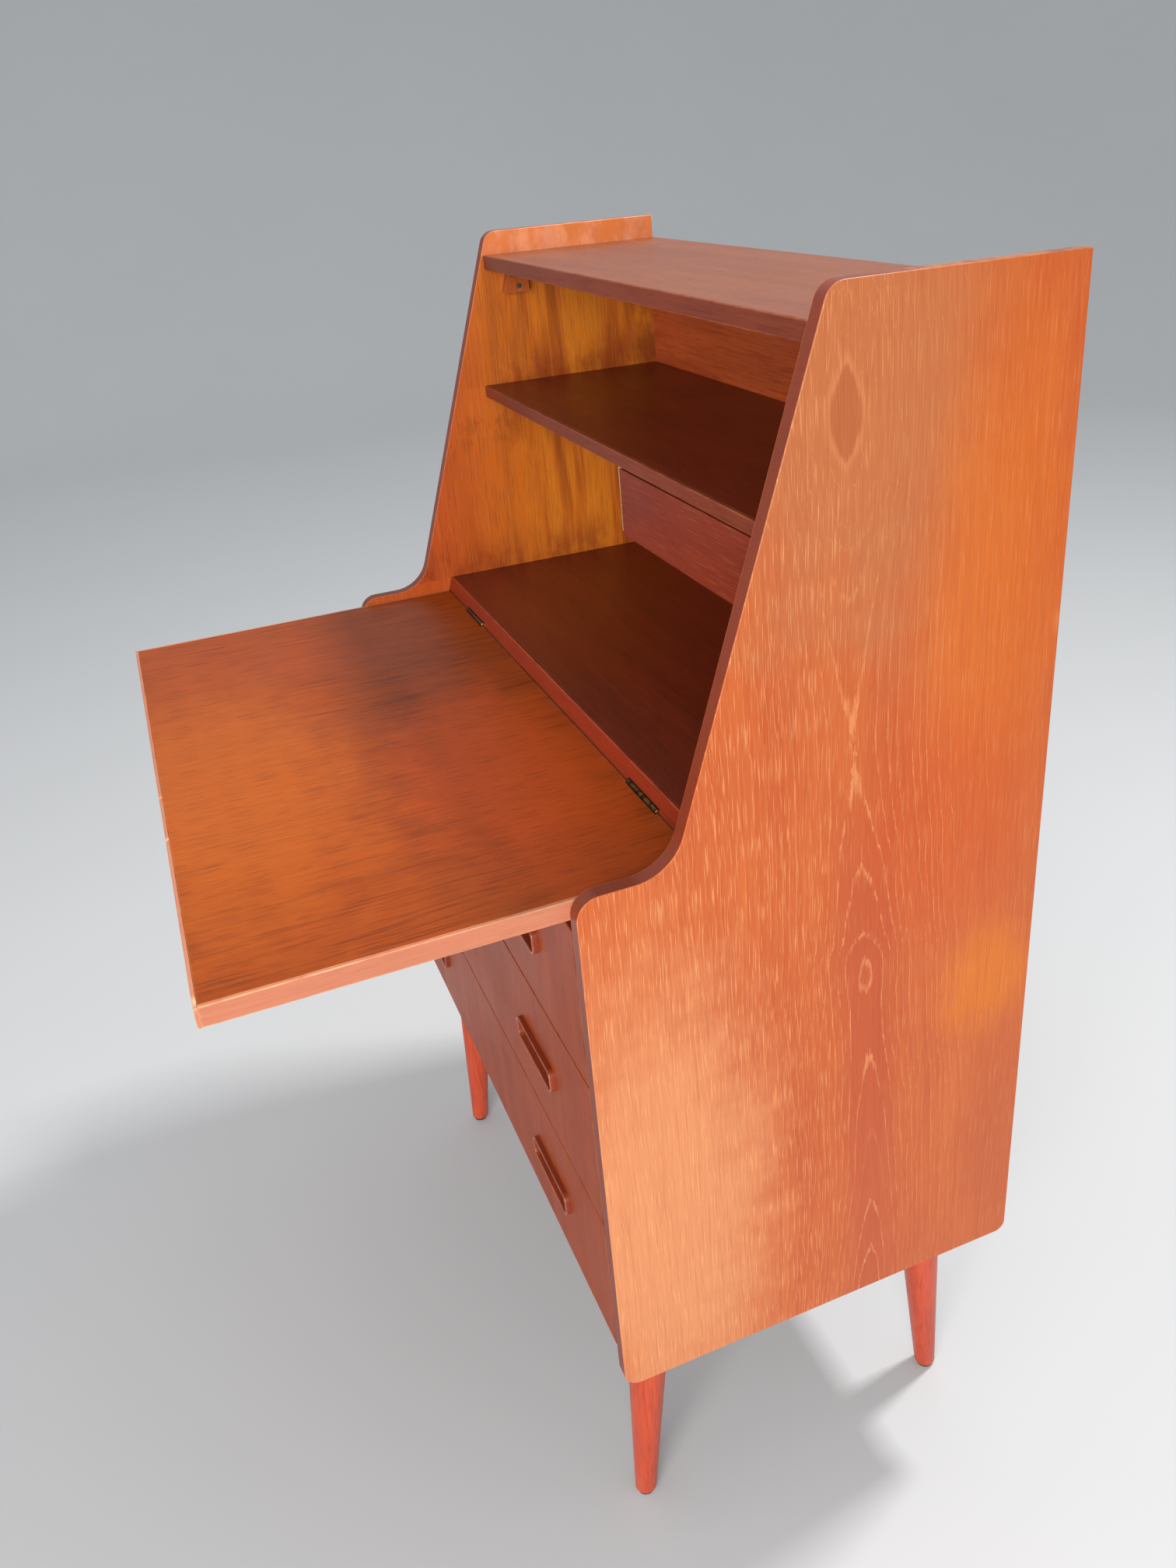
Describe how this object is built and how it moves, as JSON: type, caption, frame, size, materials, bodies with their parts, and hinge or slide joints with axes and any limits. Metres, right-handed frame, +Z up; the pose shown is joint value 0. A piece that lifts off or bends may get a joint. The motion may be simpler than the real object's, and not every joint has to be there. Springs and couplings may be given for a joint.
{
  "type": "secretary desk",
  "caption": "Wooden secretary desk with sculpted sides, a fall flap over shelved compartments, a hung small drawer, drawers with recessed pulls, and tapered legs",
  "frame": {"origin": "bottom centre of the bounding box at rest, with the flap open: on the floor, midway between the sides and midway from the flap's free edge to the rear edges", "axes": "+Z up, -Y is the front, +X to the right of a person standing in front"},
  "size_m": [0.718, 0.6386, 1.12],
  "materials": {
    "teak_side": "oiled teak veneer with tall arched figure",
    "teak_flap": "oiled teak veneer",
    "teak_front": "oiled teak veneer",
    "teak_inside": "dark oiled teak veneer",
    "teak_edge": "solid teak edge strips, satin",
    "teak_solid": "turned and shaped solid teak, satin",
    "beech": "plain pale hardwood",
    "hardboard": "thin smooth panel",
    "screw_steel": "dulled steel",
    "hinge_brass": "aged brass",
    "glide_plastic": "dark plastic"
  },
  "bodies": {
    "carcass": {"side_panel_left": "teak_side", "side_panel_right": "teak_side", "top_board": "teak_inside", "top_edge_strip": "teak_edge", "middle_shelf": "teak_inside", "shelf_edge_strip": "teak_edge", "deck_board": "teak_inside", "deck_nose_strip": "teak_edge", "hinge_rail": "beech", "deck_rear_spacer": "beech", "ledge_board": "teak_inside", "bottom_board": "teak_inside", "back_panel": "hardboard", "back_panel_screws": "screw_steel", "stop_blocks": "teak_solid", "stop_block_screws": "screw_steel", "drawer_runners": "beech", "drawer_runner_screws": "screw_steel", "small_drawer_runners": "beech", "small_drawer_hanger": "beech", "carcass_dowels": "beech", "leg_front_left": "teak_solid", "leg_front_right": "teak_solid", "leg_rear_left": "teak_solid", "leg_rear_right": "teak_solid", "leg_plates": "screw_steel", "leg_plate_screws": "screw_steel", "leg_bolts": "screw_steel", "leg_glides": "glide_plastic", "hinge_leaves_fixed": "hinge_brass", "hinge_leaf_screws_fixed": "hinge_brass", "hinge_pins": "hinge_brass"},
    "flap": {"flap_panel": "teak_flap", "flap_edge_strip_front": "teak_edge", "flap_edge_strip_left": "teak_edge", "flap_edge_strip_right": "teak_edge", "flap_pull": "teak_solid", "hinge_leaves_flap": "hinge_brass", "hinge_leaf_screws_flap": "hinge_brass"},
    "drawer_1": {"drawer_1_front": "teak_front", "drawer_1_sides": "beech", "drawer_1_back": "beech", "drawer_1_bottom": "hardboard", "drawer_1_pulls": "teak_solid"},
    "drawer_2": {"drawer_2_front": "teak_front", "drawer_2_sides": "beech", "drawer_2_back": "beech", "drawer_2_bottom": "hardboard", "drawer_2_pulls": "teak_solid"},
    "drawer_3": {"drawer_3_front": "teak_front", "drawer_3_sides": "beech", "drawer_3_back": "beech", "drawer_3_bottom": "hardboard", "drawer_3_pulls": "teak_solid"},
    "small_drawer": {"small_drawer_front": "teak_front", "small_drawer_sides": "beech", "small_drawer_back": "beech", "small_drawer_bottom": "hardboard"}
  },
  "joints": [
    {"name": "flap_hinge", "type": "hinge", "parent": "carcass", "child": "flap", "pos_m": [0, 0.03322, 0.7402], "axis": [1, 0, 0], "range_deg": [-108.2, 0]},
    {"name": "drawer_1_slide", "type": "slide", "parent": "carcass", "child": "drawer_1", "axis": [0, -1, 0], "range_m": [0, 0.3]},
    {"name": "drawer_2_slide", "type": "slide", "parent": "carcass", "child": "drawer_2", "axis": [0, -1, 0], "range_m": [0, 0.3]},
    {"name": "drawer_3_slide", "type": "slide", "parent": "carcass", "child": "drawer_3", "axis": [0, -1, 0], "range_m": [0, 0.3]},
    {"name": "small_drawer_slide", "type": "slide", "parent": "carcass", "child": "small_drawer", "axis": [0, -1, 0], "range_m": [0, 0.15]}
  ]
}
